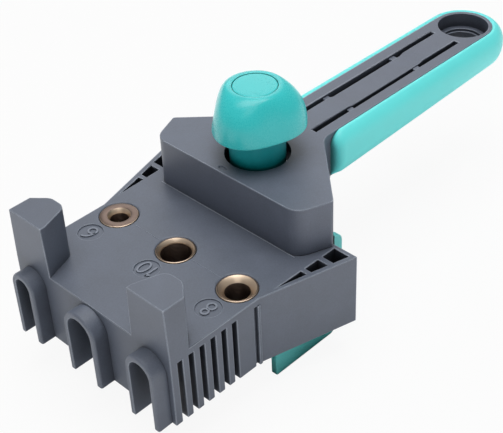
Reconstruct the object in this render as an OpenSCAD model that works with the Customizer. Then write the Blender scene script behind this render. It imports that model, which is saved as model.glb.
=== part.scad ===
// Self centering doweling jig. Millimetres, +Z up, +Y towards the handle.
// The origin lies on the axis of the middle bush, level with the base that sits on the board.

/* [Drill block] */
// Height from the base to the top of the plate
block_h = 26.7; // [25.7:0.1:30]
// Half width of the block ahead of its wings
block_half_w = 35.8; // [35.8:0.1:38]
// Distance from the bush line to the front wall
front_y = 35.5; // [34:0.5:40]
// Distance from the bush line to the rear wall
rear_y = 35.3; // [35.3:0.1:40]
// How far each wing reaches out at the rear
wing_out = 9.4; // [8:0.1:12]
// Thickness of the top plate
plate_t = 2.5; // [2:0.1:3]
// Thickness of the moulded walls
wall_t = 2.4; // [1.8:0.1:2.8]
// Height of each wing pocket's floor
pocket_floor = 3; // [2:0.5:8]

/* [Bushes and dowel arches] */
// Distance between neighbouring bushes
bush_pitch = 27.5; // [27:0.1:28]
// Outer diameter of every bush
bush_d = 13; // [12.6:0.1:13.4]
// Drill size of the left bush
left_drill = 6; // [5:0.5:6.5]
// Drill size of the middle bush
middle_drill = 10; // [9:0.5:10]
// Drill size of the right bush
right_drill = 8; // [7:0.5:8]
// Radial clearance of a drill in its bush
drill_fit = 0.05; // [0.02:0.01:0.1]
// Wall of the moulded boss around a bush
boss_wall = 1.8; // [1.4:0.1:2]
// How far the dowel arches stand out of the front wall
arch_reach = 5.3; // [3:0.1:7]
// Wall of the dowel arches
arch_wall = 2; // [1.4:0.1:2.2]
// Radial clearance of a dowel in its arch
arch_fit = 0.4; // [0.2:0.1:0.6]
// How far the tops of the arches lie below the plate's top
arch_drop = 0.5; // [0.3:0.1:1]

/* [Stops and comb] */
// Height of the two stops above the plate
stop_h = 18.7; // [12:0.1:26]
// Distance from the middle plane to each stop
stop_in = 19; // [17:0.5:21]
// Depth of the stops from front to tip
stop_depth = 12.5; // [10:0.5:14]
// Lean of the stops' sides in degrees
stop_draft = 2; // [0:0.5:3]
// Number of slots in each comb
comb_slots = 6; // [4:1:6]
// Distance between neighbouring comb slots
comb_pitch = 4.42; // [4:0.02:4.5]
// Width of a comb slot
comb_gap = 2; // [1.6:0.1:2.2]
// Width of the mark rib on each side wall
mark_w = 1.2; // [0.8:0.1:1.6]

/* [Hood and handle] */
// Height of the hood above the plate
hood_h = 17.8; // [15:0.1:22]
// Distance from the bush line to the hood's front
hood_front = 22.2; // [21.8:0.1:22.4]
// Half width of the hood at its rear corners
hood_half_w = 36.2; // [35.6:0.1:36.4]
// Radius of the hood's front corners
hood_corner = 6; // [3:0.5:8]
// Half width of the grey strip along the handle
handle_half_w = 10.9; // [10.8:0.1:12]
// Distance from the knob axis to the handle's end hole
handle_len = 111.8; // [95:0.1:130]
// Depth of the handle at its root
handle_t = 17.8; // [16.5:0.1:17.8]
// Slope of the handle's underside in degrees
handle_rise = 2; // [0:0.1:2.2]
// Radius of the recess at the handle's end
end_recess_r = 9.4; // [8:0.1:9.5]
// Depth of the recess at the handle's end
end_recess_t = 5.4; // [3:0.1:7]
// Radius of the hanging hole
hang_r = 6.7; // [4:0.1:7]
// Width of the two long slots in the handle
slot_w = 2.1; // [1.5:0.1:2.4]
// Half distance between the slots' centre lines
slot_x = 5.5; // [4.5:0.1:5.8]
// Depth of the bare panel between the slots
panel_t = 0.6; // [0.3:0.1:0.9]
// How far the soft grip bulges past the grey strip
grip_bulge = 4.4; // [2:0.1:5]

/* [Knob] */
// Gap between the hood and the knob's rim
knob_lift = 10.8; // [8:0.1:14]
// Height of the knob's cap
cap_h = 14.5; // [13:0.1:18]
// Mean radius of the cap's rim
cap_r = 15.3; // [13.5:0.1:17]
// How far the cap's three lobes stand out
cap_lobe = 1; // [0:0.1:2]
// Wall of the cap
cap_wall = 2.2; // [1.6:0.1:2.4]
// Radius of the disc set in the cap
disc_r = 7.3; // [7:0.1:8]
// Radius of the knob's stem
stem_r = 9.3; // [8.8:0.1:9.6]
// Radius of the hole for the stem in the hood
stem_hole_r = 10.8; // [10.2:0.1:11.5]

/* [Rack drive] */
// Module of the pinion and racks
gear_module = 1.5; // [1.45:0.01:1.5]
// Number of teeth on the pinion
gear_teeth = 10; // [10:1:10]
// Pressure angle of the teeth
gear_angle = 25; // [22:0.5:25]
// Thinning of each tooth for free running
gear_slack = 0.12; // [0.08:0.01:0.16]
// Height of the front rack's teeth
rack_h = 5.7; // [5:0.1:5.7]
// Width of a rack bar behind its teeth
rack_back = 2.6; // [2:0.1:2.6]
// Height of the pinion's teeth
gear_h = 5.2; // [4.6:0.1:5.2]
// Thickness of the deck under the rear rack
deck_t = 5.5; // [4:0.5:5.5]
// Thickness of the yoke over the front rack
yoke_t = 3.4; // [2.5:0.1:3.4]
// Depth of the two tongues that carry the front jaw
tongue_t = 6.9; // [5:0.1:7]

/* [Jaws] */
// Thickness of the board between the jaws at rest
board_t = 17; // [16:0.5:18]
// How far the jaws reach below the base
jaw_drop = 12.5; // [8:0.5:16]
// Thickness of the rear jaw's cheeks
cheek_t = 2.4; // [2:0.1:2.4]
// Distance from the middle plane to a cheek's outer face
cheek_out = 34.6; // [34.6:0.1:34.6]
// Width of a front jaw finger
finger_w = 6.5; // [5:0.5:7]
// Thickness of a front jaw finger
finger_t = 4; // [3:0.5:4.5]
// Gap that every sliding face keeps
slide_gap = 0.3; // [0.25:0.05:0.35]

/* [Fasteners and bearings] */
// Radius of the thread of the case screws
screw_r = 1.25; // [1:0.05:1.4]
// Radius of the heads of the case screws
head_r = 2.2; // [2:0.1:2.3]
// Height of the heads of the case screws
head_h = 1.6; // [1.2:0.1:1.8]
// Radial running clearance of the pinion
run_fit = 0.06; // [0.03:0.01:0.1]
// Radial clearance of pieces that are pushed together
push_fit = 0.02; // [0.01:0.01:0.05]
// Depth that the case screws reach into their posts
screw_reach = 8; // [5:0.5:9]
// Radius of the thread of the rack screws
rack_screw_r = 0.9; // [0.7:0.1:1]
// Radius of the heads of the rack screws
rack_head_r = 1.9; // [1.7:0.1:2]

/* [Hidden] */
$fn = 64;
eps = 0.01;
over = 1;
bush_r = bush_d / 2;
boss_r = bush_r + boss_wall;
plate_z = block_h;
plate_under = block_h - plate_t;
hood_z = plate_z + hood_h;
roof_t = 2.5;
wing_y = 0.9;
knob_y = rear_y + 3;
end_y = knob_y + handle_len;

pitch_r = gear_module * gear_teeth / 2;
tooth_tip = 0.8 * gear_module;
tooth_root = gear_module;
gear_pitch = PI * gear_module;
rack_out = pitch_r + tooth_root + rack_back;
open_travel = 6.5;
close_travel = 2.5;

cheek_in = cheek_out - cheek_t;
bay_out = cheek_out + slide_gap;
bay_in = cheek_in - slide_gap;
bay_front = boss_r + 0.9;
bay_rear = rear_y - wall_t;
cover_t = 2.4;
post_r = 2;
front_post_y = bay_front + 3.1;
hood_post_y = hood_front + 4.2;

yoke_top = plate_under - slide_gap;
yoke_z = yoke_top - yoke_t;
front_rack_z = yoke_z - rack_h;
deck_z = front_rack_z - slide_gap;
gear_z = deck_z + 0.4;
deck_front = front_post_y + post_r + close_travel + 0.2;
deck_rear = bay_rear - open_travel - 0.4;
arm_w = 3.5;
arm_rear = deck_front + arm_w;
deck_half_w = 15.5;
runner_w = 4.6;
yoke_front = deck_front + 5;
yoke_rear = bay_rear - close_travel - 0.4;
tongue_z = yoke_top - tongue_t;
tongue_w = 3.6;
finger_x = bush_pitch / 2;

case_half_w = 14;
case_in = rack_out + 0.5;
flange_t = 0.9;
thrust_gap = 0.1;
case_z = gear_z - flange_t - thrust_gap - 0.7;
case_floor_t = 2.5;
case_front = rear_y + thrust_gap;
case_cavity_rear = knob_y + 2 * gear_pitch + close_travel + slide_gap;
case_end_t = 4.8;
case_rear = case_cavity_rear + case_end_t;
case_screws = [[-8, case_rear - case_end_t / 2], [8, case_rear - case_end_t / 2]];

web_t = 3;
web_top = plate_z + web_t;
bearing_r = 6.2;
bearing_flange_r = 7.4;
bearing_flange_t = 0.8;
washer_h = 1.2;
stem_z = web_top + bearing_flange_t + washer_h;
cap_z = hood_z + knob_lift;
cap_top = cap_z + cap_h;
stem_top = cap_z + 8;
stem_bore_r = 6;
hex_l = 15;
hex_depth = 16.5;
stem_deck_t = 1.5;
deck_screw_z = stem_z + hex_depth + stem_deck_t;
knob_screw_reach = 13;
disc_t = 1.6;
plug_t = 1.8;
hub_r = 5.4;
journal_r = 4.6;
low_journal_r = 3.5;
low_bearing_t = 1.2;
hex_r = 4.3;

front_posts = [[-22, front_post_y], [22, front_post_y]];
rear_posts = [[-24, bay_rear - 3.3], [24, bay_rear - 3.3]];
hood_posts = [[-28.8, hood_post_y], [-19, hood_post_y], [19, hood_post_y], [28.8, hood_post_y]];
hood_post_r = 3.2;
rib_t = 2.4;
hood_post_h = 12;
back_posts = [[0, knob_y + 28], [0, end_y - 20]];
screw_hole_r = screw_r + 0.2;
rack_hole_r = rack_screw_r + 0.2;
bore_r = screw_r + push_fit;
rack_bore_r = rack_screw_r + push_fit;

neck_y = knob_y + 23.4;
grip_start = neck_y + 0.2;
core_inset = 0.6;
core_half_w = handle_half_w - core_inset;
core_wall = 2;
strip_t = 1.2;
back_t = 1.2;
back_inset = 0.4;
back_boss_h = 3.4;
back_boss_r = 3.6;
nose_r = 5;
handle_bottom = hood_z - handle_t;
function back_z(y) = handle_bottom + (y - neck_y) * tan(handle_rise);
hollow_front = neck_y - 3;
hollow_rear = end_y - 11.4;
slot_front = knob_y + 21.1;
slot_rear = knob_y + 100.2;
panel_front = knob_y + 40.2;
panel_rear = knob_y + 81.2;
panel_ramp = 2;
slot_ribs = [[knob_y + 39.3, knob_y + 41.9], [knob_y + 75.4, knob_y + 78.2]];
rib_sink = 1;

drills = [left_drill, middle_drill, right_drill];
function channel_half(i) = drills[i] / 2 + arch_fit;
arch_top = block_h - arch_drop;
leads = [1.7, 0.85, 1.7];
lead_depth = 1.6;
ear_top = plate_z + 1.7;
ear_front = rear_y + 1.3;
ear_t = 3.9;
ear_rear = ear_front + ear_t;
ear_foot = 4;
ear_r = 3.4;
notch_y = ear_front - close_travel - slide_gap;

// Outline helpers: a raw outline is a list of [x, y, corner radius], anticlockwise.
function flat(p) = [p[0], p[1]];
function unit(v) = v / norm(v);
function turned(a) = a > 180 ? a - 360 : a < -180 ? a + 360 : a;
function arc(a, b, c, r, steps) =
    let (u = unit(a - b), w = unit(c - b), half = acos(u * w) / 2)
    let (mid = b + unit(u + w) * r / sin(half), reach = r / tan(half))
    let (p = b + u * reach - mid, q = b + w * reach - mid)
    let (start = atan2(p[1], p[0]), sweep = turned(atan2(q[1], q[0]) - start))
    [for (i = [0:steps]) mid + r * [cos(start + sweep * i / steps), sin(start + sweep * i / steps)]];
function rounded(raw, steps = 6) = let (n = len(raw)) [
    for (i = [0:n - 1])
        let (a = flat(raw[(i + n - 1) % n]), b = flat(raw[i]), c = flat(raw[(i + 1) % n]))
        each (raw[i][2] > 0 ? arc(a, b, c, raw[i][2], steps) : [b])
];
function inward(a, b) = let (d = unit(b - a)) [-d[1], d[0]];
function bend(a, b, c) = (b - a)[0] * (c - b)[1] - (b - a)[1] * (c - b)[0];
function inset(raw, d) = let (n = len(raw)) [
    for (i = [0:n - 1])
        let (a = flat(raw[(i + n - 1) % n]), b = flat(raw[i]), c = flat(raw[(i + 1) % n]))
        let (u = inward(a, b), w = inward(b, c), p = b + d * (u + w) / (1 + u * w))
        [p[0], p[1], raw[i][2] > 0 ? max(raw[i][2] - sign(bend(a, b, c)) * d, 0) : 0]
];
function mirrored(half) = concat(half, [for (i = [len(half) - 1:-1:0]) [-half[i][0], half[i][1], half[i][2]]]);

// Gear helpers: an involute flank on the pinion and straight flanks on the racks.
base_r = pitch_r * cos(gear_angle);
function inv(a) = tan(a) * 180 / PI - a;
function flank(r) =
    let (a = r > base_r ? acos(base_r / r) : 0)
    (gear_pitch / 2 - gear_slack) / pitch_r * 90 / PI + inv(gear_angle) - inv(a);
flank_steps = 5;
flank_radii = concat([pitch_r - tooth_root], [
    for (i = [0:flank_steps]) base_r + (pitch_r + tooth_tip - base_r) * i / flank_steps
]);
function polar(r, a) = [r * cos(a), r * sin(a)];
function pinion_points() = [
    for (k = [0:gear_teeth - 1]) let (mid = 360 * k / gear_teeth)
        each concat(
            [for (r = flank_radii) polar(r, mid - flank(r))],
            [for (i = [len(flank_radii) - 1:-1:0]) polar(flank_radii[i], mid + flank(flank_radii[i]))]
        )
];
// A rack's tooth spaces meet the pinion's teeth at the height of the knob axis.
function rack_tooth(k) =
    let (mid = (k + 0.5) * gear_pitch, half = (gear_pitch / 2 - gear_slack) / 2)
    [
        [pitch_r + tooth_root, mid - half - tooth_root * tan(gear_angle)],
        [pitch_r - tooth_tip, mid - half + tooth_tip * tan(gear_angle)],
        [pitch_r - tooth_tip, mid + half - tooth_tip * tan(gear_angle)],
        [pitch_r + tooth_root, mid + half + tooth_root * tan(gear_angle)]
    ];
function foot_end(first) = (first + 0.5) * gear_pitch - gear_pitch / 2;
function rack_points(first, last, start, end) = concat(
    [[rack_out, start], [pitch_r - tooth_tip, start]],
    [[pitch_r - tooth_tip, foot_end(first)], [pitch_r + tooth_root, foot_end(first)]],
    [for (k = [first:last]) each rack_tooth(k)],
    [[pitch_r + tooth_root, end], [rack_out, end]]
);

module at_each(places) {
    for (p = places) translate([p[0], p[1], 0]) children();
}
module both_sides() {
    children();
    mirror([1, 0, 0]) children();
}
module prism(points, z0, z1) {
    translate([0, 0, z0]) linear_extrude(z1 - z0) polygon(points);
}
module block(low, high) {
    translate(low) cube(high - low);
}
module tube(r, z0, z1) {
    translate([0, 0, z0]) cylinder(r = r, h = z1 - z0);
}
// A screw with its head down at z, and its thread rising above it.
module screw_up(z, length, thread = screw_r, head = head_r) {
    difference() {
        union() {
            tube(head, z, z + head_h);
            tube(thread, z, z + length);
        }
        for (a = [0, 90]) rotate(a) block([-head * 0.6, -0.3, z - over], [head * 0.6, 0.3, z + head_h * 0.6]);
    }
}

// The drill block: plate, walls, bosses, arches, combs, stops and wings in one moulding.
function wing_x(y) = block_half_w + wing_out * (y - wing_y) / (rear_y - wing_y);
block_raw = mirrored([
    [block_half_w, -front_y, 0],
    [block_half_w, wing_y, 0],
    [block_half_w + wing_out, rear_y, 0]
]);
stop_raw = [
    [stop_in, -front_y, 0],
    [block_half_w, -front_y, 0],
    [block_half_w, stop_depth * 0.6 - front_y, 0],
    [block_half_w - 5.8, stop_depth - front_y, 4],
    [stop_in + 4.2, stop_depth - front_y, 3.6]
];
module stop() {
    difference() {
        prism(rounded(stop_raw), plate_z - over, plate_z + stop_h);
        translate([block_half_w, 0, plate_z]) rotate([0, -stop_draft, 0])
            block([0, -front_y - over, 0], [5, 0, 2 * stop_h]);
        translate([stop_in, 0, plate_z]) rotate([0, stop_draft, 0])
            block([-5, -front_y - over, 0], [0, 0, 2 * stop_h]);
    }
}
module arch_prism(half, top, y0, y1) {
    block([-half, y0, 0], [half, y1, top - half]);
    translate([0, y0, top - half]) rotate([-90, 0, 0]) cylinder(r = half, h = y1 - y0);
}
module dowel_arches() {
    for (i = [0:2]) translate([(i - 1) * bush_pitch, 0, 0])
        arch_prism(channel_half(i) + arch_wall, arch_top, -front_y - arch_reach, -front_y + over);
}
module dowel_channels() {
    for (i = [0:2]) translate([(i - 1) * bush_pitch, 0, -over])
        arch_prism(channel_half(i), arch_top - arch_wall + over, -front_y - arch_reach - over, -boss_r - 0.3);
}
module finger_bay(x0, x1) {
    block([x0, wall_t - front_y, -over], [x1, bay_front + eps, plate_under]);
}
module comb_cuts(side, drill) {
    inner = bush_pitch + drill / 2 - 0.5;
    for (i = [0:comb_slots - 1]) {
        y = 3.7 + i * comb_pitch - front_y;
        x = side > 0 ? [inner, block_half_w + over] : [-block_half_w - over, -inner];
        block([x[0], y - comb_gap / 2, -over], [x[1], y + comb_gap / 2, plate_under]);
    }
}
function pocket_in(y) = block_half_w + 0.4 + 0.8 * y / rear_y;
function pocket_out(y) = wing_x(y) - 1.8;
module wing_pockets() {
    first = rear_y - 26.6;
    y = [rear_y - 16.7, rear_y - 14.9, rear_y - 9.1, rear_y - 7.1, rear_y - 1.5];
    prism([[pocket_in(first), first], [pocket_out(y[0]), y[0]], [pocket_in(y[0]), y[0]]], pocket_floor, plate_z + over);
    for (k = [1, 3]) prism([
        [pocket_in(y[k]), y[k]], [pocket_out(y[k]), y[k]],
        [pocket_out(y[k + 1]), y[k + 1]], [pocket_in(y[k + 1]), y[k + 1]]
    ], pocket_floor, plate_z + over);
}
module block_shell() {
    difference() {
        prism(rounded(block_raw), 0, block_h);
        finger_bay(channel_half(1) + arch_wall, bush_pitch - channel_half(2) - arch_wall);
        finger_bay(channel_half(0) + arch_wall - bush_pitch, -channel_half(1) - arch_wall);
        block([-bay_out, bay_front, -over], [bay_out, bay_rear, plate_under]);
    }
}
module block_ribs() {
    for (i = [-1:1]) translate([i * bush_pitch, 0, 0]) tube(boss_r, 0, plate_under + eps);
    both_sides() block([boss_r - over, -rib_t / 2, 2], [bush_pitch - boss_r + over, rib_t / 2, tongue_z - slide_gap]);
    at_each(concat(front_posts, rear_posts)) tube(post_r, cover_t, plate_under + eps);
    both_sides() block([block_half_w - 1, -0.2, 0], [block_half_w + 0.5, mark_w - 0.2, plate_under]);
}
module drill_block() {
    color("#5c616b") difference() {
        union() {
            block_shell();
            block_ribs();
            dowel_arches();
            both_sides() stop();
        }
        dowel_channels();
        comb_cuts(1, right_drill);
        comb_cuts(-1, left_drill);
        both_sides() wing_pockets();
        both_sides() block([block_half_w - 0.8, -1.4, -over], [block_half_w + over, -0.2, plate_under]);
        for (i = [-1:1]) translate([i * bush_pitch, 0, 0]) {
            tube(bush_r + push_fit, -over, block_h + over);
            translate([0, 0, plate_z - 0.5])
                cylinder(r1 = bush_r + push_fit, r2 = bush_r + push_fit + 0.5, h = 0.5 + eps);
        }
        both_sides() block([bay_in, bay_rear - over, -over], [bay_out, rear_y + over, plate_under]);
        both_sides() block([bay_in, notch_y, plate_under - over], [bay_out, rear_y + over, plate_z + over]);
        block([-case_in, bay_rear - over, case_z - case_floor_t], [case_in, rear_y + over, plate_under]);
        translate([0, knob_y, 0]) tube(hub_r + 0.4, case_z, plate_z + over);
        at_each(concat(front_posts, rear_posts)) tube(bore_r, -over, cover_t + screw_reach + 1);
        at_each(hood_posts) tube(screw_hole_r, plate_under - over, plate_z + over);
    }
}

// Hardened drill bushes, flush with the plate, with a conical lead-in.
module drill_bush(i) {
    bore = drills[i] / 2 + drill_fit;
    color("#8a7a68") translate([(i - 1) * bush_pitch, 0, 0]) difference() {
        tube(bush_r, 0, plate_z);
        tube(bore, -over, plate_z + over);
        translate([0, 0, plate_z - lead_depth])
            cylinder(r1 = bore, r2 = bore + leads[i] * (lead_depth + eps) / lead_depth, h = lead_depth + eps);
    }
}
module bush_6mm() { drill_bush(0); }
module bush_10mm() { drill_bush(1); }
module bush_8mm() { drill_bush(2); }

// The cover that closes the slide bay from below, flush with the base.
module base_cover() {
    color("#4d525b") difference() {
        block([-bay_in + 0.3, bay_front + 0.3, 0], [bay_in - 0.3, bay_rear - 0.3, cover_t]);
        at_each(concat(front_posts, rear_posts)) {
            tube(screw_hole_r, -over, cover_t + over);
            tube(head_r + 0.1, -over, head_h);
        }
    }
}
module base_cover_screws() {
    color("silver") at_each(concat(front_posts, rear_posts)) screw_up(0, cover_t + screw_reach);
}

// The handle housing: hood, neck, handle core and gear case walls in one moulding.
corner_x = hood_half_w - 4.7;
hood_setback = 1;
neck_fillet = 7;
shoulder = [15.7, knob_y + 15.6];
meet_y = shoulder[1] + (shoulder[0] - handle_half_w) * 0.92;
hood_raw = mirrored([
    [corner_x, hood_front, hood_corner],
    [hood_half_w, rear_y - hood_setback, 0],
    [handle_half_w, meet_y, neck_fillet],
    [handle_half_w, neck_y, 0]
]);
module under_handle(lift) {
    translate([0, neck_y, handle_bottom + lift]) rotate([handle_rise, 0, 0])
        block([-40, -30, -60], [40, end_y, 0]);
}
module over_handle() {
    translate([0, neck_y, handle_bottom]) rotate([handle_rise, 0, 0]) block([-40, -30, 0], [40, end_y, 30]);
}
module handle_stadium(half, start, z0, z1) {
    block([-half, start, z0], [half, end_y, z1]);
    translate([0, end_y, 0]) tube(half, z0, z1);
}
module handle_core() {
    difference() {
        union() {
            handle_stadium(core_half_w, neck_y - 2, handle_bottom - 1, hood_z - strip_t + eps);
            handle_stadium(handle_half_w, neck_y - 2, hood_z - strip_t, hood_z);
        }
        block([core_wall - core_half_w, hollow_front, handle_bottom - 2], [core_half_w - core_wall, hollow_rear, hood_z - roof_t]);
        translate([0, end_y, 0]) {
            tube(end_recess_r, hood_z - end_recess_t, hood_z + over);
            tube(hang_r, handle_bottom - 2, hood_z);
        }
    }
}
// The cheeks carry the strip's side down to the grip's rounded nose.
module neck_cheeks() {
    both_sides() translate([core_half_w - eps, grip_start, hood_z]) rotate([0, 90, 0])
        linear_extrude(core_inset + eps) difference() {
            translate([strip_t - 0.1, neck_y - grip_start - 0.1]) square([nose_r - strip_t + 0.1, nose_r]);
            translate([nose_r, nose_r]) circle(r = nose_r + push_fit);
        }
}
module handle_posts() {
    for (p = back_posts) translate([p[0], p[1], 0])
        tube(3, back_z(p[1]) + back_boss_h, hood_z - roof_t + eps);
}
module handle_slots() {
    ends = [slot_front, each slot_ribs[0], each slot_ribs[1], slot_rear];
    for (x = [-slot_x, slot_x]) {
        block([x - slot_w / 2, slot_front, hood_z - rib_sink], [x + slot_w / 2, slot_rear, hood_z + over]);
        for (k = [0, 2, 4])
            block([x - slot_w / 2, ends[k], hood_z - roof_t - over], [x + slot_w / 2, ends[k + 1], hood_z]);
    }
    run = over * panel_ramp / panel_t;
    translate([-slot_x, 0, 0]) rotate([90, 0, 90]) linear_extrude(2 * slot_x) polygon([
        [panel_front + panel_ramp, hood_z - panel_t],
        [panel_rear - panel_ramp, hood_z - panel_t],
        [panel_rear + run, hood_z + over],
        [panel_front - run, hood_z + over]
    ]);
}
module hood_shell() {
    difference() {
        prism(rounded(hood_raw), plate_z, hood_z);
        prism(rounded(inset(hood_raw, wall_t)), plate_z - over, hood_z - roof_t);
    }
    intersection() {
        prism(rounded(hood_raw), plate_z, hood_z);
        union() {
            block([-20, knob_y - 9, plate_z], [20, knob_y + 10, web_top]);
            block([-40, knob_y - rib_t / 2, plate_z], [40, knob_y + rib_t / 2, plate_z + hood_post_h]);
            block([-rib_t / 2, hood_front, plate_z], [rib_t / 2, knob_y, plate_z + hood_post_h]);
            at_each(hood_posts) tube(hood_post_r, plate_z, plate_z + hood_post_h);
        }
    }
}
module gear_case() {
    intersection() {
        difference() {
            block([-case_half_w, case_front, case_z], [case_half_w, case_rear, plate_z + 2]);
            block([-case_in, case_front - over, case_z - over], [case_in, case_cavity_rear, plate_z + over]);
        }
        prism(rounded(hood_raw), case_z - over, hood_z);
    }
}
module handle_housing() {
    color("#646973") difference() {
        union() {
            hood_shell();
            gear_case();
            difference() {
                handle_core();
                under_handle(back_t);
            }
            handle_posts();
            neck_cheeks();
        }
        translate([0, knob_y, 0]) {
            tube(stem_hole_r, web_top, hood_z + over);
            tube(bearing_r + push_fit, plate_z - over, web_top + over);
        }
        handle_slots();
        both_sides() block([bay_in - 0.3, notch_y, plate_z - over], [bay_out, rear_y + 4, ear_top + 2 * slide_gap]);
        at_each(hood_posts) tube(bore_r, plate_z - over, plate_z + screw_reach + 1);
        at_each(case_screws) tube(bore_r, case_z - over, case_z + screw_reach + 1);
        for (p = back_posts) translate([p[0], p[1], back_z(p[1])]) tube(bore_r, 0, back_boss_h + screw_reach);
    }
}
module housing_screws() {
    color("silver") at_each(hood_posts) screw_up(plate_under - head_h, head_h + plate_t + screw_reach);
}

// The long cover under the handle, just inside the grip's foot.
module handle_back() {
    color("#5c616b") difference() {
        union() {
            difference() {
                handle_stadium(handle_half_w - back_inset, grip_start, handle_bottom - 1, handle_bottom + 6);
                under_handle(0);
                translate([0, 0, back_t]) over_handle();
            }
            for (p = back_posts) translate([p[0], p[1], 0])
                tube(back_boss_r, back_z(p[1]) + back_t / 2, back_z(p[1]) + back_boss_h);
        }
        translate([0, end_y, 0]) tube(hang_r, handle_bottom - 2, hood_z);
        for (p = back_posts) translate([p[0], p[1], 0]) {
            tube(screw_hole_r, handle_bottom - 2, hood_z - roof_t);
            tube(head_r + 0.1, handle_bottom - 2, back_z(p[1]) + head_h + 0.2);
        }
    }
}
module handle_back_screws() {
    color("silver") for (p = back_posts) translate([p[0], p[1], 0])
        screw_up(back_z(p[1]) + 0.2, back_boss_h + screw_reach - over);
}

// The soft grip wraps both sides and the end of the handle. Its upper half is level with the
// strip, and its lower half follows the slope of the underside.
grip_out = handle_half_w + grip_bulge;
grip_foot = back_t + push_fit;
grip_mid = hood_z - 6;
grip_waist = 7;
grip_seam = 0.04;
arc_end = 75;
function grip_lower(level) = concat(
    [[core_half_w - over, -over * level], [handle_half_w + 0.6, -over * level], [handle_half_w + 1, 0]],
    [for (a = [-50:12.5:0]) [
        handle_half_w + (grip_bulge + push_fit) * cos(a),
        grip_waist * level * (1 + sin(a) / sin(arc_end))
    ]],
    [[grip_out + push_fit, 2 * handle_t], [core_half_w - over, 2 * handle_t]]
);
grip_upper = concat(
    [[core_half_w + push_fit, handle_bottom - over], [grip_out, handle_bottom - over]],
    [for (a = [0:12.5:arc_end]) [
        handle_half_w + grip_bulge * cos(a),
        grip_mid + (hood_z - grip_mid) * sin(a) / sin(arc_end)
    ]],
    [[handle_half_w + push_fit, hood_z - 0.1], [handle_half_w + push_fit, hood_z - strip_t - push_fit],
     [core_half_w + push_fit, hood_z - strip_t - push_fit]]
);
module grip_side() {
    intersection() {
        translate([0, end_y, 0]) rotate([90, 0, 0]) linear_extrude(end_y - grip_start) polygon(grip_upper);
        translate([0, neck_y, handle_bottom + grip_foot]) rotate([90 + handle_rise, 0, 0])
            translate([0, 0, -end_y]) linear_extrude(end_y + 5) polygon(grip_lower(cos(handle_rise)));
    }
}
module grip_end() {
    translate([0, end_y, 0]) rotate_extrude(angle = 180) intersection() {
        polygon(grip_upper);
        translate([0, back_z(end_y) + grip_foot - grip_seam]) polygon(grip_lower(1));
    }
}
module nose_corner(side, r) {
    difference() {
        translate([side, side]) square(nose_r - side);
        translate([nose_r, nose_r]) circle(r = r);
    }
}
module grip_sleeve() {
    color("#6ee4df") difference() {
        union() {
            both_sides() grip_side();
            grip_end();
        }
        under_handle(grip_foot);
        translate([-2 * grip_out, grip_start, hood_z]) rotate([0, 90, 0])
            linear_extrude(4 * grip_out) nose_corner(-over, nose_r);
    }
}

// The cover under the gear case carries the pinion's lower bearing.
module gear_cover() {
    floor_z = case_z - case_floor_t;
    color("#4d525b") difference() {
        union() {
            intersection() {
                block([-case_half_w, case_front, floor_z], [case_half_w, case_rear, case_z]);
                prism(rounded(hood_raw), floor_z - over, case_z + over);
            }
            block([-case_in + 0.3, bay_rear + 0.1, floor_z], [case_in - 0.3, case_front + over, case_z]);
        }
        translate([0, knob_y, 0]) tube(low_journal_r + low_bearing_t + push_fit, floor_z - over, case_z + over);
        at_each(case_screws) tube(screw_hole_r, floor_z - over, case_z + over);
    }
}
module gear_cover_screws() {
    color("silver") at_each(case_screws)
        screw_up(case_z - case_floor_t - head_h, head_h + case_floor_t + screw_reach);
}

// Plain flanged bearings for the pinion.
module lower_bearing() {
    color("#b08d57") translate([0, knob_y, 0]) difference() {
        union() {
            tube(low_journal_r + low_bearing_t, case_z - case_floor_t, case_z);
            tube(low_journal_r + low_bearing_t + 0.6, case_z, case_z + flange_t);
        }
        tube(low_journal_r + run_fit, 0, case_z + 2);
    }
}
module upper_bearing() {
    color("#b08d57") translate([0, knob_y, 0]) difference() {
        union() {
            tube(bearing_r, plate_z, web_top);
            tube(bearing_flange_r, web_top, web_top + bearing_flange_t);
        }
        tube(journal_r + run_fit, plate_z - over, web_top + 2);
    }
}

// A wave washer keeps drag on the knob. Its crests touch the stem and the bearing.
wave_r = [5.2, 7.8];
wave_t = 0.4;
wave_h = washer_h - thrust_gap;
wave_n = 48;
function wave_z(a) = (wave_h - wave_t) / 2 * (1 + cos(3 * a));
wave_points = [
    for (i = [0:wave_n - 1]) let (a = 360 * i / wave_n)
        each [for (up = [0, wave_t]) for (r = wave_r) [r * cos(a), r * sin(a), wave_z(a) + up]]
];
wave_faces = [
    for (i = [0:wave_n - 1]) let (p = 4 * i, q = 4 * ((i + 1) % wave_n))
        each [for (f = [[0, 1], [1, 3], [3, 2], [2, 0]])
            each [[p + f[0], q + f[1], q + f[0]], [p + f[0], p + f[1], q + f[1]]]]
];
module spring_washer() {
    color("silver") translate([0, knob_y, web_top + bearing_flange_t]) polyhedron(wave_points, wave_faces);
}

// The pinion and its shaft, with a hexagon that drives the knob.
module drive_pinion() {
    color("#c8ccd0") translate([0, knob_y, 0]) difference() {
        union() {
            prism(pinion_points(), gear_z, gear_z + gear_h);
            tube(low_journal_r, case_z - case_floor_t + 0.5, gear_z + eps);
            tube(low_journal_r + low_bearing_t + 0.3, case_z + flange_t + thrust_gap, gear_z + eps);
            tube(hub_r, gear_z + gear_h - eps, plate_z - 0.2);
            tube(journal_r, plate_z - 0.3, stem_z);
            translate([0, 0, stem_z - eps]) cylinder(r = hex_r, h = hex_l, $fn = 6);
        }
        tube(bore_r, deck_screw_z - knob_screw_reach - 1, stem_z + hex_l + over);
    }
}

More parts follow.
